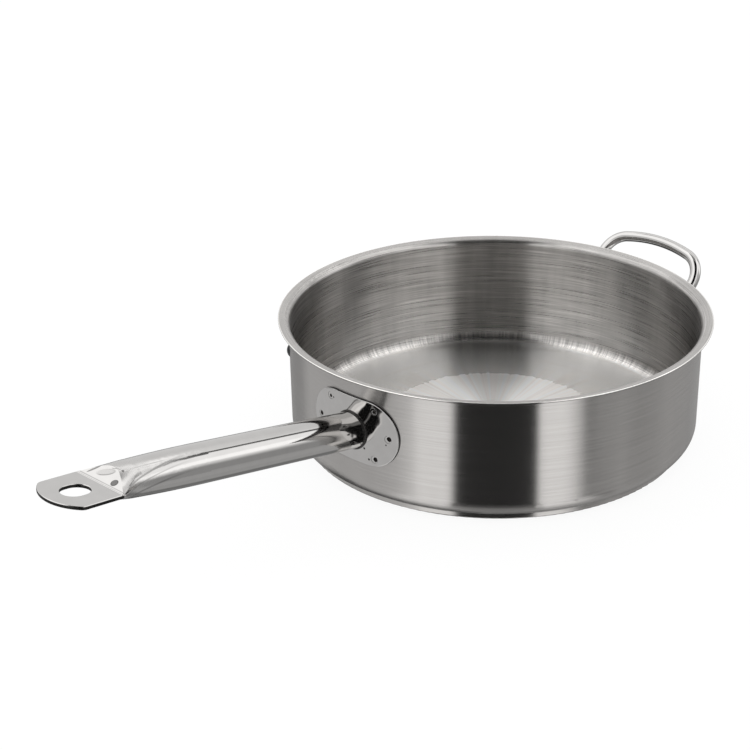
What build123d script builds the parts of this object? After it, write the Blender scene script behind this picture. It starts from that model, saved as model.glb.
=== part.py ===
from build123d import *
import math
import os

os.makedirs("parts", exist_ok=True)

# All lengths are millimetres and all angles degrees.
# The origin is the centre of the face that the pan stands on. Z is up and X runs out along the long handle.

# Bowl, spun from one sheet
inner_radius = 140.0
wall = 1.0
pan_height = 88.8
corner_radius = 11.0
flare_reach = 7.0
flare_bend = 3.2
flare_turn_angle = 80.0

# Heat-spreading base under the bowl: an aluminium disc in a thin steel cup
base_radius = 132.8
core_thickness = 3.4
cap_wall = 0.6
cap_corner = 1.0
seam_gap = 0.3

# Oval plate on the bowl's wall that carries the long handle
flange_width = 73.0
flange_height = 45.0
flange_thickness = 1.5
flange_rise = 2.62
flange_edge_round = 0.5

# Spot welds: plugs of weld metal in round places of the plates, dished a little below their faces
weld_radius = 2.6
weld_dish = 0.35
flange_weld_shares = [(0.80, 0.0), (-0.80, 0.0), (0.51, 0.75), (0.51, -0.75), (-0.51, 0.75), (-0.51, -0.75)]
plate_weld_shares = [(0.0, 0.72), (0.0, -0.72)]

# Long handle: a round tube that is squeezed slowly to an oval, swells to two folded edges and is then pressed flat
tube_radius = 12.25
tube_wall = 1.2
handle_drop = 1.2
handle_rise_angle = 11.87
round_length = 130.0
squeeze_length = 50.5
squeeze_steps = 5
squeezed_half_height = 10.7
squeezed_half_width = 13.6
oval_joint_angle = 45.0
swell_length = 20.0
swell_steps = 5
swell_power = 1.6
crest_half_height = 6.5
fold_round = 0.2
ramp_length = 9.0
ramp_rise = 8.1

# Flat end of the long handle: the tube's two layers, with a slot to hang it by
tab_rise_angle = 8.2
tab_half_width = 20.8
tab_straight_length = 26.0
tab_end_radius = 27.3
tab_corner_round = 5.0
tab_edge_round = 0.8
tab_overlap = 1.5
slot_length = 17.5
slot_width = 15.0
slot_distance = 16.6

# Ring of weld metal where the tube stands on its plate
handle_bead = 0.9
handle_bead_round = 0.6

# Helper handle: a bent rod, almost opposite the long handle
helper_azimuth_angle = 175.9
rod_radius = 3.95
helper_tilt_angle = 52.7
helper_foot_rise = 24.3
helper_foot_offset = 36.4
helper_corner_offset = 45.3
helper_corner_reach = 57.3
helper_corner_radius = 19.0
helper_bow_angle = 14.5

# Oval plates under the helper handle's two feet, and the rings of weld metal round the feet
plate_width = 22.0
plate_height = 38.0
plate_thickness = 1.5
plate_edge_round = 0.5
foot_bead = 1.3
foot_bead_round = 0.8

# Small domed stud on the side of the bowl
stud_azimuth_angle = -43.0
stud_drop = 19.0
stud_radius = 4.4
stud_rise = 1.8

# Cutting forms run past the pieces by this much
overrun = 30.0

wall_radius = inner_radius + wall
base_thickness = core_thickness + cap_wall

# The lip bends out from the wall's top and then runs on straight to its round edge
flare_turn = math.radians(flare_turn_angle)
lip_round = wall / 2
lip_run = (flare_reach - (flare_bend + lip_round) * (1 - math.cos(flare_turn))) / math.sin(flare_turn)
flare_rise = (flare_bend + lip_round) * math.sin(flare_turn) + lip_run * math.cos(flare_turn) + lip_round

# The upright wall runs from the rounded corner to the flare, and carries the handles' plates and the stud
wall_foot_height = base_thickness + corner_radius
wall_top_height = pan_height - flare_rise
flange_centre_height = (wall_foot_height + wall_top_height) / 2 + flange_rise
handle_start_height = flange_centre_height - handle_drop
helper_foot_height = wall_foot_height + helper_foot_rise
stud_height = wall_top_height - stud_drop
flange_face = wall_radius + flange_thickness
plate_face = wall_radius + plate_thickness
squeeze_end = round_length + squeeze_length
ramp_end = squeeze_end + swell_length
fold_radius = tube_wall + fold_round
handle_place = Pos(flange_face, 0, handle_start_height) * Rot(0, -handle_rise_angle, 0)


def at(radius, height):
    """Point of a turned profile."""
    return (radius, 0, height)


def on_arc(centre, radius, angle):
    """Point of a turned profile at an angle from a centre."""
    turn = math.radians(angle)
    return at(centre[0] + radius * math.cos(turn), centre[1] + radius * math.sin(turn))


def arc(centre, radius, first_angle, last_angle):
    """Arc of a turned profile between two angles."""
    middle_angle = (first_angle + last_angle) / 2
    return ThreePointArc(*(on_arc(centre, radius, angle) for angle in (first_angle, middle_angle, last_angle)))


def turned(edges):
    """Solid of revolution about the pan's axis, from the edges of a closed profile."""
    return revolve(make_face(edges), Axis.Z)


def band(inner, outer):
    """Upright ring about the pan's axis, as tall as the pan."""
    upright = (Align.CENTER, Align.CENTER, Align.MIN)
    return Cylinder(outer, pan_height, align=upright) - Cylinder(inner, pan_height, align=upright)


def pan_shell():
    """Bowl with a flat floor, a rounded corner, an upright wall and a lip that flares out for pouring."""
    across = math.cos(flare_turn)
    along = math.sin(flare_turn)
    flare_centre = (wall_radius + flare_bend, wall_top_height)
    flare_end_angle = 180 - flare_turn_angle
    corner_centre = (wall_radius - corner_radius, wall_foot_height)
    under = on_arc(flare_centre, flare_bend, flare_end_angle)
    over = on_arc(flare_centre, flare_bend + wall, flare_end_angle)
    under_end = at(under[0] + lip_run * along, under[2] + lip_run * across)
    over_end = at(over[0] + lip_run * along, over[2] + lip_run * across)
    nose = at(
        (under_end[0] + over_end[0]) / 2 + lip_round * along,
        (under_end[2] + over_end[2]) / 2 + lip_round * across,
    )
    return turned([
        Line(at(0, base_thickness), on_arc(corner_centre, corner_radius, -90)),
        arc(corner_centre, corner_radius, -90, 0),
        Line(on_arc(corner_centre, corner_radius, 0), at(wall_radius, wall_top_height)),
        arc(flare_centre, flare_bend, 180, flare_end_angle),
        Line(under, under_end),
        ThreePointArc(under_end, nose, over_end),
        Line(over_end, over),
        arc(flare_centre, flare_bend + wall, flare_end_angle, 180),
        Line(at(inner_radius, wall_top_height), on_arc(corner_centre, corner_radius - wall, 0)),
        arc(corner_centre, corner_radius - wall, 0, -90),
        Line(on_arc(corner_centre, corner_radius - wall, -90), at(0, base_thickness + wall)),
        Line(at(0, base_thickness + wall), at(0, base_thickness)),
    ])


def base_core():
    """Aluminium disc that fills the steel cup and touches the bowl's floor."""
    edge = base_radius - cap_wall
    corner = cap_corner - cap_wall
    corner_centre = (edge - corner, cap_wall + corner)
    return turned([
        Line(at(0, cap_wall), on_arc(corner_centre, corner, -90)),
        arc(corner_centre, corner, -90, 0),
        Line(on_arc(corner_centre, corner, 0), at(edge, base_thickness)),
        Line(at(edge, base_thickness), at(0, base_thickness)),
        Line(at(0, base_thickness), at(0, cap_wall)),
    ])


def base_cap():
    """Thin steel cup round the aluminium disc, with a fine open seam below the bowl."""
    inner_edge = base_radius - cap_wall
    inner_corner = cap_corner - cap_wall
    top = base_thickness - seam_gap
    corner_centre = (base_radius - cap_corner, cap_corner)
    return turned([
        Line(at(0, 0), on_arc(corner_centre, cap_corner, -90)),
        arc(corner_centre, cap_corner, -90, 0),
        Line(on_arc(corner_centre, cap_corner, 0), at(base_radius, top)),
        Line(at(base_radius, top), at(inner_edge, top)),
        Line(at(inner_edge, top), on_arc(corner_centre, inner_corner, 0)),
        arc(corner_centre, inner_corner, 0, -90),
        Line(on_arc(corner_centre, inner_corner, -90), at(0, cap_wall)),
        Line(at(0, cap_wall), at(0, 0)),
    ])


def outward_bar(outline, across, height):
    """Bar of a given outline that runs out along +X through the bowl's wall."""
    start = Plane(origin=(wall_radius - overrun, across, height), x_dir=(0, 1, 0), z_dir=(1, 0, 0))
    return extrude(start * outline, 2 * overrun)


def weld_places(shares, width, height, centre_height):
    """Places of a plate's spot welds, as offset across and height."""
    return [(across * width / 2, centre_height + up * height / 2) for across, up in shares]


def weld_plugs(places, face_radius):
    """Spot welds that stand on the bowl's wall and end a little below the plate's face."""
    room = band(wall_radius, face_radius - weld_dish)
    return [room & outward_bar(Circle(weld_radius), *place) for place in places]


def wall_plate(outline, face_radius, centre_height, edge_round, places):
    """Plate bent round the bowl's wall on the +X side, with round places for its spot welds."""
    plate = band(wall_radius, face_radius) & outward_bar(outline, 0, centre_height)
    face = plate.faces().sort_by(Axis.X)[-1]
    plate = fillet(face.edges(), edge_round)
    for place in places:
        plate -= outward_bar(Circle(weld_radius), *place)
    return plate


def weld_ring(form, face_radius, proud, rounding):
    """Ring of weld metal from a hollow form that stands on a plate's face, on the +X side."""
    ring = band(face_radius, face_radius + proud) & form
    top = ring.faces().sort_by(Axis.X)[-1]
    return fillet(top.outer_wire().edges(), rounding)


def oval(half_width, half_height, joint_angle, inset):
    """Oval of four arcs, moved in by an inset. Its side arcs reach up to its top and bottom arcs at an angle."""
    cosine = math.cos(math.radians(joint_angle))
    sine = math.sin(math.radians(joint_angle))
    side_radius = (half_height * cosine - half_width * (1 - sine)) / (cosine + sine - 1)
    joint_x = half_width - side_radius + (side_radius - inset) * cosine
    joint_y = (side_radius - inset) * sine
    side = half_width - inset
    top = half_height - inset
    return make_face([
        ThreePointArc((joint_x, -joint_y), (side, 0), (joint_x, joint_y)),
        ThreePointArc((joint_x, joint_y), (0, top), (-joint_x, joint_y)),
        ThreePointArc((-joint_x, joint_y), (-side, 0), (-joint_x, -joint_y)),
        ThreePointArc((-joint_x, -joint_y), (0, -top), (joint_x, -joint_y)),
    ])


def between(first, last, share):
    """Value a given share of the way from the first to the last."""
    return first + (last - first) * share


def handle_form(inset):
    """Form of the pressed tube up to its flat end, moved in by an inset. X runs along its axis."""
    squeeze = []
    for step in range(squeeze_steps + 1):
        along = step / squeeze_steps
        half_width = between(tube_radius, squeezed_half_width, along ** 2)
        half_height = between(tube_radius, squeezed_half_height, along ** 2)
        section = oval(half_width, half_height, oval_joint_angle, inset)
        squeeze.append(Plane.YZ.offset(round_length + squeeze_length * along) * section)
    fold_reach = tab_half_width - fold_radius
    crest_radius = (fold_reach ** 2 + crest_half_height ** 2 - fold_radius ** 2) / (crest_half_height - fold_radius) / 2
    fold_joint_angle = math.degrees(math.atan2(crest_radius - crest_half_height, fold_reach))
    swell = []
    for step in range(swell_steps + 1):
        along = step / swell_steps
        half_width = between(squeezed_half_width, tab_half_width, along ** swell_power)
        half_height = between(squeezed_half_height, crest_half_height, along ** swell_power)
        joint_angle = between(oval_joint_angle, fold_joint_angle, along ** swell_power)
        section = oval(half_width, half_height, joint_angle, inset)
        swell.append(Plane.YZ.offset(squeeze_end + swell_length * along) * section)
    barrel = extrude(Plane.YZ.offset(-overrun) * Circle(tube_radius - inset), overrun + round_length)
    slope = ramp_rise / ramp_length
    end_half_height = tube_wall - inset * math.hypot(1, slope)
    reach = tube_radius + overrun
    ramp_start = ramp_end - (reach - end_half_height) / slope
    if end_half_height > 0:
        tip = [(ramp_end, end_half_height), (ramp_end, -end_half_height)]
    else:
        tip = [(ramp_end + end_half_height / slope, 0)]
    corners = [(-overrun, reach), (ramp_start, reach), *tip, (ramp_start, -reach), (-overrun, -reach)]
    wedge = extrude(Plane.XZ * make_face(Polyline(*corners, close=True)), reach, both=True)
    return (barrel + loft(squeeze) + loft(swell)) & wedge


def handle_tab():
    """Flat end of the handle, with a rounded tip, eased edges and its slot. X runs along the handle's axis."""
    tip = tab_straight_length + tab_end_radius - math.sqrt(tab_end_radius ** 2 - tab_half_width ** 2)
    outline = make_face([
        Line((-tab_overlap, -tab_half_width), (tab_straight_length, -tab_half_width)),
        ThreePointArc((tab_straight_length, -tab_half_width), (tip, 0), (tab_straight_length, tab_half_width)),
        Line((tab_straight_length, tab_half_width), (-tab_overlap, tab_half_width)),
        Line((-tab_overlap, tab_half_width), (-tab_overlap, -tab_half_width)),
    ])
    outline = fillet(outline.vertices().sort_by(Axis.X)[-2:], tab_corner_round)
    outline -= Pos(slot_distance, 0) * SlotOverall(slot_length, slot_width)
    plate = extrude(outline, tube_wall, both=True)
    rims = plate.faces().sort_by(Axis.Z)[0].edges() + plate.faces().sort_by(Axis.Z)[-1].edges()
    plate = fillet(rims, tab_edge_round)
    return Pos(ramp_end, 0, 0) * Rot(0, handle_rise_angle - tab_rise_angle, 0) * plate


def handle_tube():
    """Hollow handle: round where it stands on its plate, pressed flat and slotted at the far end."""
    tube = handle_form(0) - handle_form(tube_wall) + handle_tab()
    return handle_place * tube - Cylinder(flange_face, 2 * pan_height)


def handle_weld():
    """Ring of weld metal round the foot of the long handle."""
    foot = Circle(tube_radius + handle_bead) - Circle(tube_radius)
    sleeve = handle_place * extrude(Plane.YZ * foot, overrun, both=True)
    return weld_ring(sleeve, flange_face, handle_bead, handle_bead_round)


def handle_flange():
    """Oval plate of the long handle."""
    places = weld_places(flange_weld_shares, flange_width, flange_height, flange_centre_height)
    outline = SlotOverall(flange_width, flange_height)
    return wall_plate(outline, flange_face, flange_centre_height, flange_edge_round, places)


def flange_spot_welds():
    """Spot welds of the long handle's plate."""
    places = weld_places(flange_weld_shares, flange_width, flange_height, flange_centre_height)
    return Compound(children=weld_plugs(places, flange_face))


# The helper handle lies in a tilted plane. Its local X runs out along the plane and its local Y runs across.
helper_turn = Rot(0, 0, helper_azimuth_angle)
helper_place = Pos(wall_radius, 0, helper_foot_height) * Rot(0, -helper_tilt_angle, 0)
helper_splay = math.atan2(helper_corner_offset - helper_foot_offset, helper_corner_reach)
helper_bow = math.radians(helper_bow_angle)


def helper_foot():
    """Place where the rod's middle line meets its plate: distance out, offset across, height."""
    tilt = math.radians(helper_tilt_angle)
    out = math.cos(helper_splay) * math.cos(tilt)
    across = math.sin(helper_splay)
    square = out ** 2 + across ** 2
    half_linear = wall_radius * out + helper_foot_offset * across
    constant = wall_radius ** 2 + helper_foot_offset ** 2 - plate_face ** 2
    run = (math.sqrt(half_linear ** 2 - square * constant) - half_linear) / square
    height = helper_foot_height + run * math.cos(helper_splay) * math.sin(tilt)
    return wall_radius + run * out, helper_foot_offset + run * across, height


def leg_start(side):
    """Frame across the rod, on one leg and well behind the plate."""
    ahead = (math.cos(helper_splay), side * math.sin(helper_splay), 0)
    start = Vector(0, side * helper_foot_offset, 0) - overrun * Vector(*ahead)
    return Plane(origin=start, z_dir=ahead)


def helper_loop():
    """Rod bent to a loop with splayed legs, round corners and a bowed grip, cut to the plates at its feet."""
    turn = math.pi / 2 + helper_splay - helper_bow
    tangent_run = helper_corner_radius * math.tan(turn / 2)
    leg_end = (
        helper_corner_reach - tangent_run * math.cos(helper_splay),
        helper_corner_offset - tangent_run * math.sin(helper_splay),
    )
    grip_start = (
        helper_corner_reach + tangent_run * math.sin(helper_bow),
        helper_corner_offset - tangent_run * math.cos(helper_bow),
    )
    right = leg_start(1)
    left = leg_start(-1)
    path = Wire([
        Line(right.origin, leg_end),
        TangentArc(leg_end, grip_start, tangent=right.z_dir),
        TangentArc(grip_start, (grip_start[0], -grip_start[1]), tangent=(math.sin(helper_bow), -math.cos(helper_bow))),
        TangentArc((leg_end[0], -leg_end[1]), (grip_start[0], -grip_start[1]), tangent=left.z_dir),
        Line((leg_end[0], -leg_end[1]), left.origin),
    ])
    rod = sweep(right * Circle(rod_radius), path=path)
    return helper_turn * (helper_place * rod - Cylinder(plate_face, 2 * pan_height))


def helper_plate_shape(side):
    """Plate under one foot of the helper handle and its spot welds, before the turn to the handle's side."""
    out, across, height = helper_foot()
    swing = Rot(0, 0, side * math.degrees(math.atan2(across, out)))
    places = weld_places(plate_weld_shares, plate_width, plate_height, height)
    outline = Rot(0, 0, 90) * SlotOverall(plate_height, plate_width)
    plate = wall_plate(outline, plate_face, height, plate_edge_round, places)
    return swing * plate, [swing * plug for plug in weld_plugs(places, plate_face)]


def helper_plate(side):
    """Oval plate under one foot of the helper handle."""
    return helper_turn * helper_plate_shape(side)[0]


def helper_spot_welds():
    """Spot welds of both of the helper handle's plates."""
    plugs = helper_plate_shape(1)[1] + helper_plate_shape(-1)[1]
    return Compound(children=[helper_turn * plug for plug in plugs])


def helper_foot_welds():
    """Rings of weld metal round the helper handle's two feet."""
    rings = []
    for side in (1, -1):
        foot = leg_start(side) * (Circle(rod_radius + foot_bead) - Circle(rod_radius))
        sleeve = helper_place * extrude(foot, 2 * overrun)
        rings.append(helper_turn * weld_ring(sleeve, plate_face, foot_bead, foot_bead_round))
    return Compound(children=rings)


def wall_stud():
    """Low dome on the bowl's wall."""
    dome_radius = (stud_radius ** 2 + stud_rise ** 2) / (2 * stud_rise)
    dome = Pos(wall_radius + stud_rise - dome_radius, 0, stud_height) * Sphere(dome_radius)
    return Rot(0, 0, stud_azimuth_angle) * (dome - Cylinder(wall_radius, 2 * pan_height))


pieces = {
    "pan_shell": pan_shell(),
    "base_core": base_core(),
    "base_cap": base_cap(),
    "handle_flange": handle_flange(),
    "flange_spot_welds": flange_spot_welds(),
    "handle_tube": handle_tube(),
    "handle_weld": handle_weld(),
    "helper_loop": helper_loop(),
    "helper_plate_left": helper_plate(1),
    "helper_plate_right": helper_plate(-1),
    "helper_spot_welds": helper_spot_welds(),
    "helper_foot_welds": helper_foot_welds(),
    "wall_stud": wall_stud(),
}
for name, shape in pieces.items():
    export_step(shape, f"parts/{name}.step")
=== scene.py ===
import bmesh
import bpy
import math
from mathutils import Matrix, Vector


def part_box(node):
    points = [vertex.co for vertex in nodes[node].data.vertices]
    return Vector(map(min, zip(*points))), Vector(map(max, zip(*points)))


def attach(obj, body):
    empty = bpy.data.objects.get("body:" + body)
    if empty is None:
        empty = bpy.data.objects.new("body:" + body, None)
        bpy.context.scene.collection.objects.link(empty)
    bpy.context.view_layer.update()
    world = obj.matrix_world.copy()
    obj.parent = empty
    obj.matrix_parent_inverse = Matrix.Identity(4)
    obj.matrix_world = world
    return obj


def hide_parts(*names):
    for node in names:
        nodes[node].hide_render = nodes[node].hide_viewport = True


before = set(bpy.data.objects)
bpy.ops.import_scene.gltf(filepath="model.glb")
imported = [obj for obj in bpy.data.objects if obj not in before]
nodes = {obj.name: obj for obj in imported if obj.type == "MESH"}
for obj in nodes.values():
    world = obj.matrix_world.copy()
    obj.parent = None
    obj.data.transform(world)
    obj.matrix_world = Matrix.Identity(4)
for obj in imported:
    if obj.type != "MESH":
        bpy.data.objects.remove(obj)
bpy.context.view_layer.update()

MM = 0.001

# Places on the pan, in metres
SHELL_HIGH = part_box("pan_shell")[1]
PLATE_LOW, PLATE_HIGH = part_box("handle_flange")
PLATE_CENTRE = (PLATE_HIGH[0], 0, (PLATE_LOW[2] + PLATE_HIGH[2]) / 2)
LIP_RADIUS = SHELL_HIGH[0]

# Camera of the photograph: its place in the pan's own frame in metres, its turn round the upright axis, how
# far it looks down and leans in radians, and its lens and sensor in mm
CAMERA_PLACE = Vector((0.7905, 0.6390, 0.5105))
CAMERA_AZIMUTH = math.radians(133.6)
CAMERA_PITCH = 0.4339
CAMERA_ROLL = 0.0204
CAMERA_LENS = 76.8
SENSOR = 36.0

# Studio round the pan, as directions in degrees that shiny surfaces reflect. Azimuth 0 is the camera's side,
# and azimuth grows to the camera's right. The levels are brightness, and the horizon is soft between the two
# elevations.
STUDIO_FRONT = math.degrees(math.atan2(CAMERA_PLACE.y, CAMERA_PLACE.x))
SKY_LEVEL = 0.98
TABLE_LEVEL = 0.32
HORIZON = (-13.0, 10.0)
# What the camera sees beside the pan, and what lights its dull surfaces
BACKGROUND_LEVEL = 1.0
ROOM_LEVEL = 0.8
# Each panel: left azimuth and its soft edge, right azimuth and its soft edge, lowest and highest elevation,
# the soft edge of these two, brightness. A later panel covers those before it.
PANELS = {
    "overhead softbox": (-400.0, 1.0, 400.0, 1.0, 50.0, 100.0, 8.0, 0.95),
    "gap above the back strip on the right": (124.0, 8.0, 400.0, 1.0, 48.5, 52.0, 2.0, 0.2),
    "gap above the back strip on the left": (-400.0, 1.0, -120.0, 8.0, 48.5, 52.0, 2.0, 0.2),
    "back sky on the right": (136.0, 10.0, 400.0, 1.0, -4.0, 37.0, 10.0, 0.8),
    "back sky on the left": (-400.0, 1.0, -136.0, 10.0, -4.0, 37.0, 10.0, 0.8),
    "back strip on the right": (100.0, 8.0, 400.0, 1.0, 39.5, 47.0, 4.0, 1.35),
    "back strip on the left": (-400.0, 1.0, -138.0, 8.0, 39.5, 47.0, 4.0, 1.3),
    "left wall": (-122.0, 8.0, -46.0, 8.0, -2.0, 34.0, 8.0, 0.75),
    "left overhead softbox": (-138.0, 8.0, -44.0, 8.0, 30.0, 62.0, 8.0, 1.35),
    "left table": (-128.0, 8.0, -46.0, 8.0, -95.0, -4.0, 8.0, 0.58),
    "right wall": (58.0, 6.0, 90.0, 6.0, -2.0, 34.0, 8.0, 0.55),
    "right overhead softbox": (56.0, 8.0, 121.0, 3.0, 34.0, 62.0, 8.0, 1.35),
    "right table": (56.0, 8.0, 180.0, 8.0, -95.0, -4.0, 8.0, 0.4),
    "left table edge": (-112.0, 4.0, -64.0, 4.0, -9.0, 3.0, 3.0, 0.08),
    "table shade": (78.0, 10.0, 104.0, 10.0, -33.0, -7.0, 4.0, 0.34),
    "table light": (78.0, 10.0, 130.0, 20.0, -50.0, -35.0, 6.0, 0.43),
    "table behind": (140.0, 20.0, 200.0, 4.0, -80.0, -30.0, 20.0, 0.2),
    "table behind on the left": (-175.0, 10.0, -105.0, 10.0, -80.0, -40.0, 8.0, 0.05),
    "side softbox": (96.0, 5.0, 122.0, 3.0, 3.0, 36.0, 6.0, 1.2),
    "side softbox core": (94.0, 4.0, 112.0, 6.0, 8.0, 20.0, 5.0, 1.45),
    "gap beside the side softbox": (123.0, 2.0, 130.0, 3.0, 12.0, 38.0, 3.0, 0.12),
}
# Boards that reach from the camera's side over the pan, laid over the panels. Each board: first angle to the
# side and its soft edge, last one and its soft edge, lowest and highest angle of a turn from the camera's
# side over the top, the soft edge of these two, brightness.
BOARDS = {
    "left softbox": (-40.0, 12.0, -16.0, 2.0, -75.0, 50.0, 6.0, 1.08),
    "right softbox": (18.0, 2.0, 41.0, 14.0, -75.0, 50.0, 6.0, 1.12),
    "gap beside the right softbox": (45.5, 3.0, 50.0, 3.0, -80.0, 30.0, 10.0, 0.02),
    "glint softbox": (10.0, 4.0, 34.0, 6.0, 84.0, 103.0, 6.0, 1.6),
    "glint softbox beside it": (-34.0, 6.0, -10.0, 4.0, 84.0, 103.0, 6.0, 1.6),
    "flag": (-18.6, 4.0, 22.2, 1.0, -51.0, 88.0, 6.0, 0.008),
    "board overhead": (-18.6, 4.0, 22.2, 4.0, 86.0, 102.0, 6.0, 0.3),
    "board above the flag": (-18.6, 4.0, 22.2, 4.0, 15.0, 30.0, 6.0, 0.26),
}

# Floor under the pan: half its side, how far it lies under the pan, its grey and its own light
FLOOR_REACH = 6.0
FLOOR_DROP = 0.2 * MM
FLOOR_GREY = 0.15
FLOOR_GLOW = 0.9

# Middle value of every noise here
NOISE_MIDDLE = 0.5

# Zones of the pan's surface. Each pair is the two values between which the zone's share goes from 0 to 1.
# Facing is 1 where the surface faces away from the pan's axis and -1 where it faces the axis
INSIDE_FACING = (0.1, -0.5)
# Up is 1 where the surface faces straight up and -1 where it faces down
WALL_UP = (0.3, 0.1)
FLOOR_UP = (0.6, 0.98)
CORNER_FOOT_UP = (0.98, 0.8)
CORNER_TOP_UP = (0.15, 0.5)
RIM_UP = (0.0, 0.4)
SHADE_UP = (0.1, -0.1)
# Height under which the floor and the corner lie
LOW_HEIGHT = (30 * MM, 20 * MM)
# Painted highlight along the lip's edge, as radii
RIM_RADII = (LIP_RADIUS - 1.1 * MM, LIP_RADIUS - 0.4 * MM)
# Shade that the lip throws on the wall under it
SHADE_START = SHELL_HIGH[2] - 4.6 * MM
SHADE_HEIGHT = (SHADE_START, SHADE_START + 0.7 * MM)
# Turned disc in the middle of the floor, rougher and brightened by a painted highlight fan: its radius, how
# ragged and how soft its edge is, and the radii between which its painted highlight fades in
DISC_RADIUS = 77 * MM
DISC_RAGGED = 7 * MM
DISC_EDGE = (-0.8 * MM, 0.8 * MM)
DISC_FADE = (1.45 * DISC_RADIUS, 0.98 * DISC_RADIUS)
# Fine dark line round the floor: its radius, and the distances from it between which it fades in
LINE_RADIUS = 106 * MM
LINE_FADE = (0.7 * MM, 0.2 * MM)

# Radius at which the lengths of the marks round the pan are true
TURN_RADIUS = 150 * MM
# Each kind of mark: its length round the pan, its pitch across that and the noise's detail
FINE_LINES = (50 * MM, 0.9 * MM, 0.5)
MEDIUM_LINES = (60 * MM, 2.6 * MM, 2.0)
SCRATCHES = (40 * MM, 0.5 * MM, 0.0)
UPRIGHT_SHADES = (9.0 * MM, 60 * MM, 2.0)
# Spokes paint a highlight fan on the floor's disc and make the disc's edge ragged
SPOKES = (7.0 * MM, 900 * MM, 1.0)
# Painted glint streaks across the corner between the wall and the floor
GLINT_STREAKS = (1.5 * MM, 60 * MM, 2.0)
# Shares of the medium lines and the upright shades beside the fine lines, and the middle of their sum
MEDIUM_SHARE = 0.07
UPRIGHT_SHARE = 0.35
LINES_MIDDLE = NOISE_MIDDLE * (1 + MEDIUM_SHARE + UPRIGHT_SHARE)
# Noise between which a scratch fades in
SCRATCH_NOISE = (0.7, 0.8)
# Noise at which a painted glint streak neither brightens nor darkens the corner
GLINT_STREAK_MIDDLE = 0.55

# Brightness of the pan's steel, as shares of its colour: how much the marks change it outside and inside, and
# what each zone adds to it or takes off. Several of these zones are painted light and painted shade.
LINES_OUTSIDE = 0.17
LINES_INSIDE = 0.85
SCRATCH_OUTSIDE = 0.015
SCRATCH_INSIDE = 0.3
# Contrast of the painted glint streaks in the corner
GLINT_STREAK_CONTRAST = 1.6
# Contrast of the spokes of the painted highlight fan on the floor's disc
SPOKE_HIGHLIGHT_CONTRAST = 0.75
# Painted shade that darkens the inner wall
INNER_WALL_SHADE = -0.2
# Painted light that brightens the pan's floor
FLOOR_PAINTED_LIGHT = 0.88
LINE_TINT = -0.25
# Painted highlight that brightens the floor's disc
DISC_HIGHLIGHT = 0.8
# Painted highlight along the lip's edge
RIM_HIGHLIGHT = 0.8
SHADE_TINT = -0.85

# Roughness and relief of the pan's steel
OUTSIDE_ROUGHNESS = 0.22
INSIDE_ROUGHNESS = 0.28
FLOOR_ROUGHNESS = 0.24
DISC_ROUGHNESS = 0.34
LINES_ROUGHNESS = 0.04
BRUSHED_ANISOTROPY = 1.0
BRUSHED_TURN = 0.25
LINES_STRENGTH = 0.015
LINES_DEPTH = 0.04 * MM

# Colours, as red, green and blue shares of light that come back
PAN_COLOUR = (0.56, 0.543, 0.527)
MIRROR_COLOUR = (0.64, 0.628, 0.615)
PLATE_COLOUR = (0.62, 0.608, 0.597)
WELD_COLOUR = (0.5, 0.48, 0.46)
# Painted shade in the spot welds' pits
PIT_SHADE_COLOUR = (0.03, 0.027, 0.025)
# Painted shade along the joint at the long handle's foot, as the colour of its weld bead
JOINT_SHADE_COLOUR = (0.06, 0.058, 0.056)
# Near-black of a dull cut edge, also used for painted shade
EDGE_AND_SHADE_COLOUR = (0.035, 0.034, 0.033)
STUD_COLOUR = (0.03, 0.03, 0.032)

# Haze on polished steel: cells a metre, detail, change of brightness and of roughness
HAZE_SCALE = 160.0
HAZE_DETAIL = 4.0
HAZE_TINT = 0.12
HAZE_DARKEST = 0.94
HAZE_SMOOTHER = 0.02
HAZE_ROUGHER = 0.04
# Roughness of the handles, of the plates and of a dull cut edge and painted shade
MIRROR_ROUGHNESS = 0.06
PLATE_ROUGHNESS = 0.07
EDGE_AND_SHADE_ROUGHNESS = 0.4

# Waves that polishing leaves: cells a metre along the handle and across it, detail and relief
POLISH_SCALE = (18, 70, 70)
POLISH_DETAIL = 2.0
POLISH_STRENGTH = 0.5
POLISH_DEPTH = 0.12 * MM

# Uneven face of the long handle's plate: depth and radii of the dish round the handle's foot, and its waves
DISH_DEPTH = 1.2 * MM
DISH_RADII = (10 * MM, 30 * MM)
WAVE_DEPTH = 1.6 * MM
WAVE_SCALE = 55.0
WAVE_DETAIL = 1.0
# Facing, without its sign, under which the plate's edge is painted dark as shade in the gap along it
PLATE_EDGE_SHADE_FACING = (0.6, 0.2)
# Painted shade of small pits in the plate, as dark spots: place to the side and height over the table, and
# radius, in mm
PIT_SHADE_SPOTS = (
    (27.6, 48.0, 0.7),
    (10.8, 41.0, 1.0),
    (14.4, 34.2, 1.0),
    (-15.8, 68.6, 0.8),
)
# Share of the radius of a painted pit shade up to which it is wholly dark
PIT_SHADE_SPOTS_CORE = 0.5

# Grain of weld metal: cells a metre, detail, change of brightness and roughness, relief
GRAIN_SCALE = 900.0
GRAIN_DETAIL = 3.0
GRAIN_TINT = 0.6
GRAIN_DARKEST = 0.7
GRAIN_SMOOTHER = 0.06
GRAIN_ROUGHER = 0.1
GRAIN_STRENGTH = 0.3
GRAIN_DEPTH = 0.05 * MM
# Roughness of plain weld metal, of the pits painted dark as shade and of the bead round the long handle's
# foot, painted dark as shade
WELD_ROUGHNESS = 0.22
PIT_SHADE_ROUGHNESS = 0.5
JOINT_SHADE_ROUGHNESS = 0.25

# Dull stud in the wall
STUD_SCALE = 300.0
STUD_DETAIL = 3.0
STUD_ROUGHNESS = (0.25, 0.45)
STUD_METALLIC = 0.6

# Long handle: how far under the plate's middle it starts, and how steeply it rises
HANDLE_DROP = 1.2 * MM
HANDLE_RISE = math.radians(11.87)
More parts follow.
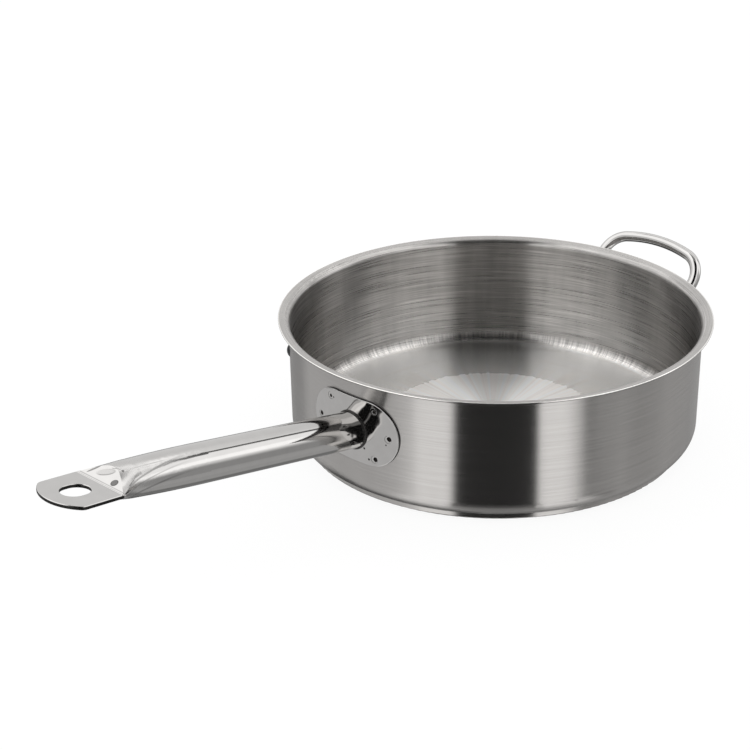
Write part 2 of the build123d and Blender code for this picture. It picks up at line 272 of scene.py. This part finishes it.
# Where its flat end's cut edge turns dark, along the pan's X axis
TAB_START = (338 * MM, 339 * MM)
# Up, without its sign, under which that edge is dark
TAB_EDGE_UP = (0.75, 0.45)

# Marks on the long handle, with lengths and places in mm: along the handle from the plate, to its side and up
# from its middle. Relief of the polishing's waves, and the up at which the marks of the press begin
POLISH_HEIGHT = 0.06
PRESSED_UP = (0.3, 0.6)
# Each mark: place along and to the side, half sizes, slant, depth and the darkness of its painted shade
PRESS_MARKS = (
    ((195.4, -2.0), (1.9, 6.4), 0.31, 0.3, 0.18),
    ((197.9, 8.8), (1.7, 2.6), 0.1, 0.25, 0.75),
    ((196.4, -11.2), (0.8, 3.2), 0.85, 0.1, 0.6),
    ((191.6, 1.8), (1.0, 3.0), 0.3, 0.25, 0.0),
    ((190.6, 6.4), (0.8, 0.9), 0.0, 0.2, 0.6),
)
# Squared distance from a mark's middle, 1 at its edge, over which its depth and its painted shade fade in
MARK_DEPTH_FADE = (1.0, 0.25)
MARK_SHADE_FADE = (1.0, 0.7)
# Fold at the foot of the flattened slope: place along, distances from it between which it fades in, height
FOLD_ALONG = 200.6
FOLD_FADE = (1.1, 0.2)
FOLD_HEIGHT = 0.35
# Shoulder beside the slope's top: place to the side, distances from it between which it fades in, ends along
# the handle and height
SHOULDER_SIDE = 7.4
SHOULDER_FADE = (0.9, 0.1)
SHOULDER_START = (150.0, 170.0)
SHOULDER_END = (191.0, 188.0)
SHOULDER_HEIGHT = 0.12
# Dark lines of painted shade along creases that run up the tube: where their curve starts, how far it runs
# and how high it stands
CREASE_START = 132.0
CREASE_REACH = 65.0
CREASE_RISE = 9.4
# Ends of the creases along the handle, and how far to the side they begin
CREASE_FADE_IN = (136.0, 172.0)
CREASE_FADE_OUT = (200.0, 197.0)
CREASE_SIDE = (5.0, 7.0)
# Each crease: height over the curve, half width and darkness of its painted shade
CREASES = ((1.3, 0.6, 0.45), (-1.5, 0.5, 0.3), (-6.6, 0.8, 0.4))
# Share of its half width up to which a crease is wholly dark
CREASE_CORE = 0.3
# Duller stretch where the tube was flattened: its ends, their soft edge and how much rougher it is
DULL_START = 172.0
DULL_END = 195.0
DULL_SOFT = 10.0
DULL_ROUGHNESS = 0.12

# Spot welds of the long handle's plate: share of its half width and of its half height, pit radius and the
# pit's shift to the side and up in mm
FLANGE_WELDS = (
    (0.80, 0.0, 1.35, (0.6, 0.5)),
    (-0.80, 0.0, 1.2, (0.0, 0.3)),
    (0.51, 0.75, 0.9, (0.2, -0.4)),
    (0.51, -0.75, 1.35, (0.8, 0.2)),
    (-0.51, 0.75, 0.8, (0.0, -0.2)),
    (-0.51, -0.75, 0.9, (0.3, 0.3)),
)
# Rings of a spot weld, as radius and depth under the plate's face in mm: its back edge, its front edge and
# the groove inside that
WELD_RINGS = ((2.58, 1.4), (2.58, 0.02), (2.3, 0.08))
# Rings round its pit, as distance outside the pit's radius and depth, and the pit's floor
PIT_RINGS = ((0.6, 0.03), (0.3, 0.08), (-0.05, 0.75))
PIT_FLOOR = (0.4, 0.95)
# Number of the first band of faces that is painted dark as the pit's shade, and corners of a ring
FIRST_PIT_SHADE_BAND = 4
WELD_STEPS = 24

# Sockets of Blender's colour mixing node
MIX_COLOUR_FIRST = 6
MIX_COLOUR_LAST = 7
MIX_COLOUR_RESULT = 2


def make_camera():
    """Camera at the photograph's place, looking a little down at the pan."""
    turn = Matrix.Rotation(CAMERA_AZIMUTH, 3, "Z")
    ahead = turn @ Vector((0, math.cos(CAMERA_PITCH), -math.sin(CAMERA_PITCH)))
    level_right = turn @ Vector((1, 0, 0))
    level_down = ahead.cross(level_right)
    right = math.cos(CAMERA_ROLL) * level_right + math.sin(CAMERA_ROLL) * level_down
    down = math.cos(CAMERA_ROLL) * level_down - math.sin(CAMERA_ROLL) * level_right
    data = bpy.data.cameras.new("camera")
    data.sensor_width = SENSOR
    data.lens = CAMERA_LENS
    camera = bpy.data.objects.new("camera", data)
    basis = Matrix((right, -down, -ahead)).transposed().to_4x4()
    camera.matrix_world = Matrix.Translation(CAMERA_PLACE) @ basis
    bpy.context.scene.collection.objects.link(camera)
    bpy.context.scene.camera = camera


class Tree:
    """Short ways to add and join shader nodes."""

    def __init__(self, tree):
        self.nodes = tree.nodes
        self.links = tree.links

    def add(self, kind, inputs=None, **settings):
        """New shader node with the given settings and inputs."""
        node = self.nodes.new("ShaderNode" + kind)
        for name, value in settings.items():
            setattr(node, name, value)
        for name, value in (inputs or {}).items():
            self.put(node.inputs[name], value)
        return node

    def put(self, socket, value):
        """Links a socket into an input, or sets the input to a value."""
        if isinstance(value, bpy.types.NodeSocket):
            self.links.new(value, socket)
        else:
            socket.default_value = value

    def math(self, operation, first, second=0.0, third=0.0):
        """Result of an operation on up to three numbers."""
        node = self.add("Math", operation=operation)
        for socket, value in zip(node.inputs, (first, second, third)):
            self.put(socket, value)
        return node.outputs[0]

    def times(self, first, second):
        """Product of two numbers."""
        return self.math("MULTIPLY", first, second)

    def plus(self, first, second):
        """Sum of two numbers."""
        return self.math("ADD", first, second)

    def minus(self, first, second):
        """Difference of two numbers."""
        return self.math("SUBTRACT", first, second)

    def add_scaled(self, start, value, factor):
        """A start with a value times a factor added to it."""
        return self.math("MULTIPLY_ADD", value, factor, start)

    def absolute(self, value):
        """Number without its sign."""
        return self.math("ABSOLUTE", value)

    def step(self, value, low, high):
        """Smooth step of a value from 0 at low to 1 at high."""
        inputs = {"Value": value, "From Min": low, "From Max": high}
        return self.add("MapRange", inputs, interpolation_type="SMOOTHSTEP").outputs["Result"]

    def near(self, value, middle, outer, inner):
        """1 up to the inner distance from the middle, and 0 from the outer distance on."""
        return self.step(self.absolute(self.minus(value, middle)), outer, inner)

    def window(self, value, low, high, soft):
        """1 between low and high, with soft edges."""
        rise = self.step(value, low - soft / 2, low + soft / 2)
        fall = self.step(value, high + soft / 2, high - soft / 2)
        return self.times(rise, fall)

    def blend(self, share, first, last):
        """Number a given share of the way from the first to the last."""
        node = self.add("Mix", {"Factor": share})
        self.put(node.inputs["A"], first)
        self.put(node.inputs["B"], last)
        return node.outputs["Result"]

    def vector(self, operation, first, second=(0, 0, 0), result="Vector"):
        """Result of an operation on up to two vectors."""
        return self.add("VectorMath", {0: first, 1: second}, operation=operation).outputs[result]

    def scale(self, vector, factor):
        """Vector times a number."""
        return self.add("VectorMath", {0: vector, "Scale": factor}, operation="SCALE").outputs["Vector"]

    def turn(self, vector, angle, axis):
        """Vector turned round one of the axes."""
        inputs = {"Vector": vector, "Angle": angle}
        return self.add("VectorRotate", inputs, rotation_type=axis).outputs["Vector"]

    def parts(self, vector):
        """X, Y and Z of a vector."""
        outputs = self.add("SeparateXYZ", {"Vector": vector}).outputs
        return outputs["X"], outputs["Y"], outputs["Z"]

    def place(self):
        """Place of the point on the surface, in the pan's frame."""
        return self.add("TexCoord").outputs["Object"]

    def normal(self):
        """Direction that the surface faces."""
        return self.add("NewGeometry").outputs["True Normal"]

    def noise(self, vector, scale, detail):
        """Noise with a given number of cells in a unit of the vector."""
        return self.add("TexNoise", {"Vector": vector, "Scale": scale, "Detail": detail}).outputs["Fac"]

    def bump(self, height, strength, distance):
        """Direction of the surface with a relief laid on it."""
        inputs = {"Height": height, "Strength": strength, "Distance": distance}
        return self.add("Bump", inputs).outputs["Normal"]


def add_panels(tree, level, panels, across, up):
    """Brightness with the panels laid over it, at the given two angles."""
    for left, left_soft, right, right_soft, low, high, soft, brightness in panels.values():
        begin = tree.step(across, left - left_soft / 2, left + left_soft / 2)
        end = tree.step(across, right + right_soft / 2, right - right_soft / 2)
        rise = tree.window(up, low, high, soft)
        share = tree.times(tree.times(begin, end), rise)
        level = tree.blend(share, level, brightness)
    return level


def studio_level(tree):
    """Brightness of the studio in the direction that a shiny surface reflects."""
    direction = tree.add("TexCoord").outputs["Generated"]
    front, side, top = tree.parts(tree.turn(direction, -math.radians(STUDIO_FRONT), "Z_AXIS"))
    azimuth = tree.math("DEGREES", tree.math("ARCTAN2", side, front))
    elevation = tree.math("DEGREES", tree.math("ARCSINE", top))
    level = tree.blend(tree.step(elevation, *HORIZON), TABLE_LEVEL, SKY_LEVEL)
    level = add_panels(tree, level, PANELS, azimuth, elevation)
    aside = tree.math("DEGREES", tree.math("ARCSINE", side))
    over = tree.math("DEGREES", tree.math("ARCTAN2", top, front))
    return add_panels(tree, level, BOARDS, aside, over)


def make_world():
    """White surroundings for the camera, and the studio with its softboxes and black flag for shiny metal."""
    world = bpy.data.worlds.new("world")
    bpy.context.scene.world = world
    world.use_nodes = True
    tree = Tree(world.node_tree)
    background = tree.nodes["Background"]
    path = tree.add("LightPath")
    level = tree.blend(path.outputs["Is Glossy Ray"], ROOM_LEVEL, studio_level(tree))
    seen = tree.math("MAXIMUM", path.outputs["Is Camera Ray"], path.outputs["Is Transmission Ray"])
    level = tree.blend(seen, level, BACKGROUND_LEVEL)
    background.inputs["Color"].default_value = (1, 1, 1, 1)
    tree.links.new(level, background.inputs["Strength"])
    world.cycles.sampling_method = "NONE"


def new_material(name):
    """Material with an empty node tree but for its shader and output."""
    material = bpy.data.materials.new(name)
    material.use_nodes = True
    return material, Tree(material.node_tree), material.node_tree.nodes["Principled BSDF"]


class PanPoint:
    """Where a point lies round the pan's axis, and how the surface faces there."""

    def __init__(self, tree):
        place = tree.place()
        flat = tree.vector("MULTIPLY", place, (1, 1, 0))
        normal = tree.normal()
        self.outward = tree.vector("NORMALIZE", flat)
        self.radius = tree.vector("LENGTH", flat, result="Value")
        self.height = tree.parts(place)[2]
        self.profile = tree.plus(self.radius, self.height)
        self.facing = tree.vector("DOT_PRODUCT", normal, self.outward, result="Value")
        self.up = tree.parts(normal)[2]


def turned_noise(tree, point, marks):
    """Noise in cells of a given length round the pan's axis and a given pitch along its profile."""
    length, pitch, detail = marks
    spread = tree.scale(point.outward, TURN_RADIUS / length)
    across = tree.add("CombineXYZ", {"Z": tree.math("DIVIDE", point.profile, pitch)}).outputs["Vector"]
    return tree.noise(tree.vector("ADD", spread, across), 1.0, detail)


class Zones:
    """Shares in which a point belongs to the zones of the pan's surface, each from 0 to 1."""

    def __init__(self, tree, point, spokes):
        low = tree.step(point.height, *LOW_HEIGHT)
        self.inside = tree.step(point.facing, *INSIDE_FACING)
        self.inner_wall = tree.times(self.inside, tree.step(point.up, *WALL_UP))
        self.floor = tree.times(tree.step(point.up, *FLOOR_UP), low)
        corner = tree.times(tree.step(point.up, *CORNER_TOP_UP), tree.step(point.up, *CORNER_FOOT_UP))
        self.corner = tree.times(corner, low)
        edge = tree.add_scaled(DISC_RADIUS, tree.minus(spokes, NOISE_MIDDLE), DISC_RAGGED)
        self.disc = tree.times(self.floor, tree.step(tree.minus(edge, point.radius), *DISC_EDGE))
        self.disc_fade = tree.step(point.radius, *DISC_FADE)
        self.line = tree.near(point.radius, LINE_RADIUS, *LINE_FADE)
        # Painted highlight along the lip's edge
        self.rim_highlight = tree.times(tree.step(point.radius, *RIM_RADII), tree.step(point.up, *RIM_UP))
        under_lip = tree.times(tree.step(point.height, *SHADE_HEIGHT), tree.step(point.up, *SHADE_UP))
        self.under_lip = tree.times(under_lip, tree.minus(1.0, self.inside))


def wall_tint(tree, point, zones, fine):
    """Change of brightness that the brush lines and the scratches make, with painted glint streaks in the
    corner and painted shade on the inner wall.
    """
    lines = tree.add_scaled(fine, turned_noise(tree, point, MEDIUM_LINES), MEDIUM_SHARE)
    lines = tree.add_scaled(lines, turned_noise(tree, point, UPRIGHT_SHADES), UPRIGHT_SHARE)
    contrast = tree.blend(zones.inside, LINES_OUTSIDE, LINES_INSIDE)
    tint = tree.times(tree.minus(lines, LINES_MIDDLE), contrast)
    scratch = tree.step(turned_noise(tree, point, SCRATCHES), *SCRATCH_NOISE)
    tint = tree.plus(tint, tree.times(scratch, tree.blend(zones.inside, SCRATCH_OUTSIDE, SCRATCH_INSIDE)))
    # Painted glint streaks in the corner
    glint_streak = tree.minus(turned_noise(tree, point, GLINT_STREAKS), GLINT_STREAK_MIDDLE)
    tint = tree.plus(tint, tree.times(glint_streak, tree.times(zones.corner, GLINT_STREAK_CONTRAST)))
    # Painted shade on the inner wall
    return tree.add_scaled(tint, zones.inner_wall, INNER_WALL_SHADE)


def pan_tint(tree, point, zones, fine, spokes):
    """Brightness of the pan's steel, as a factor on its colour, with painted light on the floor, painted
    highlights on the disc and the lip's edge, and painted shade on the inner wall and under the lip.
    """
    # Painted light on the floor
    ring = tree.add_scaled(FLOOR_PAINTED_LIGHT, zones.line, LINE_TINT)
    ring = tree.add_scaled(wall_tint(tree, point, zones, fine), zones.floor, ring)
    # Painted highlight fan on the disc, with its spokes
    disc = tree.add_scaled(DISC_HIGHLIGHT, tree.minus(spokes, NOISE_MIDDLE), SPOKE_HIGHLIGHT_CONTRAST)
    tint = tree.plus(tree.blend(zones.disc_fade, ring, disc), 1.0)
    # Painted highlight along the lip's edge
    tint = tree.add_scaled(tint, zones.rim_highlight, RIM_HIGHLIGHT)
    return tree.times(tint, tree.add_scaled(1.0, zones.under_lip, SHADE_TINT))


def turned_steel(name):
    """Steel with brush lines that run round the pan, coarser inside than outside, and a turned floor, with
    painted light and shade in its colour.
    """
    material, tree, shader = new_material(name)
    point = PanPoint(tree)
    fine = turned_noise(tree, point, FINE_LINES)
    spokes = turned_noise(tree, point, SPOKES)
    zones = Zones(tree, point, spokes)
    tint = pan_tint(tree, point, zones, fine, spokes)
    tree.put(shader.inputs["Base Color"], tree.scale(PAN_COLOUR, tint))
    shader.inputs["Metallic"].default_value = 1
    roughness = tree.blend(zones.inside, OUTSIDE_ROUGHNESS, INSIDE_ROUGHNESS)
    roughness = tree.blend(zones.floor, roughness, FLOOR_ROUGHNESS)
    roughness = tree.blend(zones.disc, roughness, DISC_ROUGHNESS)
    roughness = tree.add_scaled(roughness, tree.minus(fine, NOISE_MIDDLE), LINES_ROUGHNESS)
    tree.put(shader.inputs["Roughness"], roughness)
    shader.inputs["Anisotropic"].default_value = BRUSHED_ANISOTROPY
    shader.inputs["Anisotropic Rotation"].default_value = BRUSHED_TURN
    tangent = tree.add("Tangent", direction_type="RADIAL", axis="Z")
    tree.put(shader.inputs["Tangent"], tangent.outputs["Tangent"])
    tree.put(shader.inputs["Normal"], tree.bump(fine, LINES_STRENGTH, LINES_DEPTH))
    return material


def polished_base(name, colour, roughness):
    """Mirror steel with faint haze."""
    material, tree, shader = new_material(name)
    haze = tree.noise(tree.place(), HAZE_SCALE, HAZE_DETAIL)
    tint = tree.add_scaled(HAZE_DARKEST, haze, HAZE_TINT)
    tree.put(shader.inputs["Base Color"], tree.scale(colour, tint))
    shader.inputs["Metallic"].default_value = 1
    roughness = tree.blend(haze, roughness - HAZE_SMOOTHER, roughness + HAZE_ROUGHER)
    tree.put(shader.inputs["Roughness"], roughness)
    return material, tree, shader


def polish_waves(tree):
    """Slight unevenness that polishing leaves along the handle."""
    drawn = tree.add("Mapping", {"Vector": tree.place(), "Scale": POLISH_SCALE}).outputs["Vector"]
    return tree.noise(drawn, 1.0, POLISH_DETAIL)


def polished_steel(name):
    """Mirror steel with the waves of its polishing."""
    material, tree, shader = polished_base(name, MIRROR_COLOUR, MIRROR_ROUGHNESS)
    tree.put(shader.inputs["Normal"], tree.bump(polish_waves(tree), POLISH_STRENGTH, POLISH_DEPTH))
    return material


def darken(tree, shader, share):
    """Takes a given share of the surface to a dull near-black: the tab's cut edge, and painted shade
    elsewhere.
    """
    colour = shader.inputs["Base Color"].links[0].from_socket
    mixed = tree.add("Mix", {"Factor": share}, data_type="RGBA")
    tree.links.new(colour, mixed.inputs[MIX_COLOUR_FIRST])
    mixed.inputs[MIX_COLOUR_LAST].default_value = (*EDGE_AND_SHADE_COLOUR, 1)
    tree.put(shader.inputs["Base Color"], mixed.outputs[MIX_COLOUR_RESULT])
    roughness = shader.inputs["Roughness"].links[0].from_socket
    tree.put(shader.inputs["Roughness"], tree.blend(share, roughness, EDGE_AND_SHADE_ROUGHNESS))


def along_handle(tree):
    """Place on the long handle in mm: along it from the plate, to its side and up from its middle."""
    start = (PLATE_CENTRE[0], 0, PLATE_CENTRE[2] - HANDLE_DROP)
    turned = tree.turn(tree.vector("SUBTRACT", tree.place(), start), HANDLE_RISE, "Y_AXIS")
    return tree.parts(tree.vector("MULTIPLY", turned, (1 / MM, 1 / MM, 1 / MM)))


def press_mark(tree, along, side, centre, half_sizes, slant):
    """Squared distance from an oval mark's middle, 1 at its edge. A slant leans the mark along the handle."""
    across = tree.minus(side, centre[1])
    ahead = tree.add_scaled(tree.minus(along, centre[0]), across, slant)
    first = tree.math("POWER", tree.absolute(tree.math("DIVIDE", ahead, half_sizes[0])), 2.0)
    second = tree.math("POWER", tree.absolute(tree.math("DIVIDE", across, half_sizes[1])), 2.0)
    return tree.plus(first, second)


def pressed_relief(tree, along, side, above):
    """Relief in mm and painted shade of the press marks, with the fold and the shoulder beside them."""
    height = tree.times(polish_waves(tree), POLISH_HEIGHT)
    shade = 0.0
    for centre, half_sizes, slant, depth, darkness in PRESS_MARKS:
        mark = press_mark(tree, along, side, centre, half_sizes, slant)
        height = tree.add_scaled(height, tree.times(tree.step(mark, *MARK_DEPTH_FADE), above), -depth)
        # Painted shade in the press mark
        shade = tree.add_scaled(shade, tree.times(tree.step(mark, *MARK_SHADE_FADE), above), darkness)
    fold = tree.near(along, FOLD_ALONG, *FOLD_FADE)
    height = tree.add_scaled(height, tree.times(fold, above), FOLD_HEIGHT)
    shoulder = tree.near(side, SHOULDER_SIDE, *SHOULDER_FADE)
    reach = tree.times(tree.step(along, *SHOULDER_START), tree.step(along, *SHOULDER_END))
    height = tree.add_scaled(height, tree.times(tree.times(shoulder, reach), above), SHOULDER_HEIGHT)
    return height, shade


def crease_shade(tree, along, side, up, shade):
    """Painted shade, with dark lines added along the creases that run up both sides of the tube and bend down
    towards the fold.
    """
    run = tree.math("DIVIDE", tree.minus(along, CREASE_START), CREASE_REACH)
    drop = tree.times(tree.times(run, run), CREASE_RISE)
    over_curve = tree.plus(tree.minus(up, CREASE_RISE), drop)
    beside = tree.times(tree.step(along, *CREASE_FADE_IN), tree.step(along, *CREASE_FADE_OUT))
    beside = tree.times(beside, tree.step(tree.absolute(side), *CREASE_SIDE))
    for height, half_width, darkness in CREASES:
        line = tree.times(tree.near(over_curve, height, half_width, CREASE_CORE * half_width), beside)
        shade = tree.add_scaled(shade, line, darkness)
    return shade


def handle_steel(name):
    """Polished steel of the long handle, with the marks of the press on its flat end, painted shade in them
    and along the creases, and a dark cut edge.
    """
    material, tree, shader = polished_base(name, MIRROR_COLOUR, MIRROR_ROUGHNESS)
    along, side, up = along_handle(tree)
    surface_up = tree.parts(tree.normal())[2]
    height, shade = pressed_relief(tree, along, side, tree.step(surface_up, *PRESSED_UP))
    shade = crease_shade(tree, along, side, up, shade)
    tree.put(shader.inputs["Normal"], tree.bump(height, 1.0, MM))
    roughness = shader.inputs["Roughness"].links[0].from_socket
    dull = tree.window(along, DULL_START, DULL_END, DULL_SOFT)
    tree.put(shader.inputs["Roughness"], tree.add_scaled(roughness, dull, DULL_ROUGHNESS))
    # Painted shade of the press marks and the creases
    darken(tree, shader, shade)
    tab = tree.step(tree.parts(tree.place())[0], *TAB_START)
    darken(tree, shader, tree.times(tab, tree.step(tree.absolute(surface_up), *TAB_EDGE_UP)))
    return material


def plate_steel(name):
    """Polished plate, drawn in a little round the foot that stands on it and uneven from the welding, with
    painted shade along its edge and in small pits.
    """
    material, tree, shader = polished_base(name, PLATE_COLOUR, PLATE_ROUGHNESS)
    place = tree.place()
    distance = tree.vector("DISTANCE", place, PLATE_CENTRE, result="Value")
    dish = tree.times(tree.step(distance, *DISH_RADII), DISH_DEPTH)
    height = tree.add_scaled(dish, tree.noise(place, WAVE_SCALE, WAVE_DETAIL), WAVE_DEPTH)
    tree.put(shader.inputs["Normal"], tree.bump(height, 1.0, 1.0))
    # Painted shade in the gap along the plate's edge
    darken(tree, shader, tree.step(tree.absolute(PanPoint(tree).facing), *PLATE_EDGE_SHADE_FACING))
    flat = tree.vector("MULTIPLY", place, (0, 1, 1))
    # Painted shade of small pits
    for side, up, radius in PIT_SHADE_SPOTS:
        away = tree.vector("DISTANCE", flat, (0, side * MM, up * MM), result="Value")
        darken(tree, shader, tree.step(away, radius * MM, PIT_SHADE_SPOTS_CORE * radius * MM))
    return material


def weld_metal(name, colour, roughness):
    """Weld metal with a fine grain, in a given colour, which for the pits and the bead is painted shade."""
    material, tree, shader = new_material(name)
    grain = tree.noise(tree.place(), GRAIN_SCALE, GRAIN_DETAIL)
    tint = tree.add_scaled(GRAIN_DARKEST, grain, GRAIN_TINT)
    tree.put(shader.inputs["Base Color"], tree.scale(colour, tint))
    shader.inputs["Metallic"].default_value = 1
    roughness = tree.blend(grain, roughness - GRAIN_SMOOTHER, roughness + GRAIN_ROUGHER)
    tree.put(shader.inputs["Roughness"], roughness)
    tree.put(shader.inputs["Normal"], tree.bump(grain, GRAIN_STRENGTH, GRAIN_DEPTH))
    return material


def dark_metal(name):
    """Dull dark metal of the stud in the wall."""
    material, tree, shader = new_material(name)
    haze = tree.noise(tree.place(), STUD_SCALE, STUD_DETAIL)
    tree.put(shader.inputs["Roughness"], tree.blend(haze, *STUD_ROUGHNESS))
    shader.inputs["Base Color"].default_value = (*STUD_COLOUR, 1)
    shader.inputs["Metallic"].default_value = STUD_METALLIC
    return material


def weld_ring(mesh, across, height, radius, depth, shift):
    """Corners of one ring of a spot weld, carried onto the plate's round face."""
    corners = []
    for number in range(WELD_STEPS):
        turn = 2 * math.pi * number / WELD_STEPS
        side = across + (radius * math.cos(turn) + shift[0]) * MM
        up = height + (radius * math.sin(turn) + shift[1]) * MM
        reach = PLATE_HIGH[0] - depth * MM
        corners.append(mesh.verts.new((math.sqrt(reach * reach - side * side), side, up)))
    return corners


def spot_weld(mesh, across, height, pit, shift):
    """Round weld in the plate's face: a groove, a low mound and a pit painted dark as shade, closed behind.
    """
    shape = [(radius, depth, (0, 0)) for radius, depth in WELD_RINGS]
    shape += [(pit + beyond, depth, shift) for beyond, depth in PIT_RINGS]
    shape.append((*PIT_FLOOR, shift))
    rings = [weld_ring(mesh, across, height, *ring) for ring in shape]
    for band, (outer, inner) in enumerate(zip(rings, rings[1:])):
        for corner in range(WELD_STEPS):
            after = (corner + 1) % WELD_STEPS
            face = mesh.faces.new((outer[corner], outer[after], inner[after], inner[corner]))
            face.smooth = band > 0
            # Faces of the pit take the painted shade
            face.material_index = int(band >= FIRST_PIT_SHADE_BAND)
    mesh.faces.new(rings[-1]).material_index = 1
    mesh.faces.new(list(reversed(rings[0])))


def new_piece(name, mesh, materials):
    """Object from an edit mesh, which rides on the pan."""
    data = bpy.data.meshes.new(name)
    mesh.to_mesh(data)
    mesh.free()
    for material in materials:
        data.materials.append(material)
    piece = bpy.data.objects.new(name, data)
    bpy.context.scene.collection.objects.link(piece)
    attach(piece, "root")
    return piece


def make_spot_welds(materials):
    """Spot welds of the long handle's plate, in the places of the CAD ones."""
    half_height = (PLATE_HIGH[2] - PLATE_LOW[2]) / 2
    mesh = bmesh.new()
    for across, up, pit, shift in FLANGE_WELDS:
        spot_weld(mesh, across * PLATE_HIGH[1], PLATE_CENTRE[2] + up * half_height, pit, shift)
    bmesh.ops.recalc_face_normals(mesh, faces=mesh.faces)
    piece = new_piece("spot_welds", mesh, materials)
    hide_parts("flange_spot_welds")


def make_floor():
    """Plain pale floor, white to the camera, that keeps a faint shadow of the pan."""
    mesh = bpy.data.meshes.new("floor")
    signs = ((-1, -1), (1, -1), (1, 1), (-1, 1))
    corners = [(x * FLOOR_REACH, y * FLOOR_REACH, -FLOOR_DROP) for x, y in signs]
    mesh.from_pydata(corners, [], [(0, 1, 2, 3)])
    floor = bpy.data.objects.new("floor", mesh)
    bpy.context.scene.collection.objects.link(floor)
    material, _, shader = new_material("floor")
    shader.inputs["Base Color"].default_value = (FLOOR_GREY, FLOOR_GREY, FLOOR_GREY, 1)
    shader.inputs["Roughness"].default_value = 1.0
    shader.inputs["Specular IOR Level"].default_value = 0.0
    shader.inputs["Emission Color"].default_value = (1, 1, 1, 1)
    shader.inputs["Emission Strength"].default_value = FLOOR_GLOW
    mesh.materials.append(material)
    floor.visible_glossy = False


brushed = turned_steel("brushed_steel_round")
handle = handle_steel("mirror_handle")
mirror = polished_steel("mirror_steel")
plate = plate_steel("mirror_plate")
weld = weld_metal("weld_metal", WELD_COLOUR, WELD_ROUGHNESS)
# Pits of the spot welds, painted dark as shade
pit_shade = weld_metal("pit_shade_metal", PIT_SHADE_COLOUR, PIT_SHADE_ROUGHNESS)
# Weld bead round the long handle's foot, painted dark as shade along the joint
joint_shade = weld_metal("weld_joint_shade", JOINT_SHADE_COLOUR, JOINT_SHADE_ROUGHNESS)
dark = dark_metal("dark_stud")
# Material of each CAD node
LOOKS = {
    "pan_shell": brushed,
    "base_cap": brushed,
    "base_core": brushed,
    "wall_stud": dark,
    "handle_flange": plate,
    "helper_plate_left": plate,
    "helper_plate_right": plate,
    "helper_loop": mirror,
    "handle_tube": handle,
    "handle_weld": joint_shade,
    "helper_foot_welds": weld,
    "helper_spot_welds": weld,
    "flange_spot_welds": weld,
}
for name, node in nodes.items():
    for slot in node.material_slots:
        slot.material = LOOKS[name]

make_spot_welds((plate, pit_shade))
make_camera()
make_world()
make_floor()
bpy.context.scene.view_settings.view_transform = "Standard"
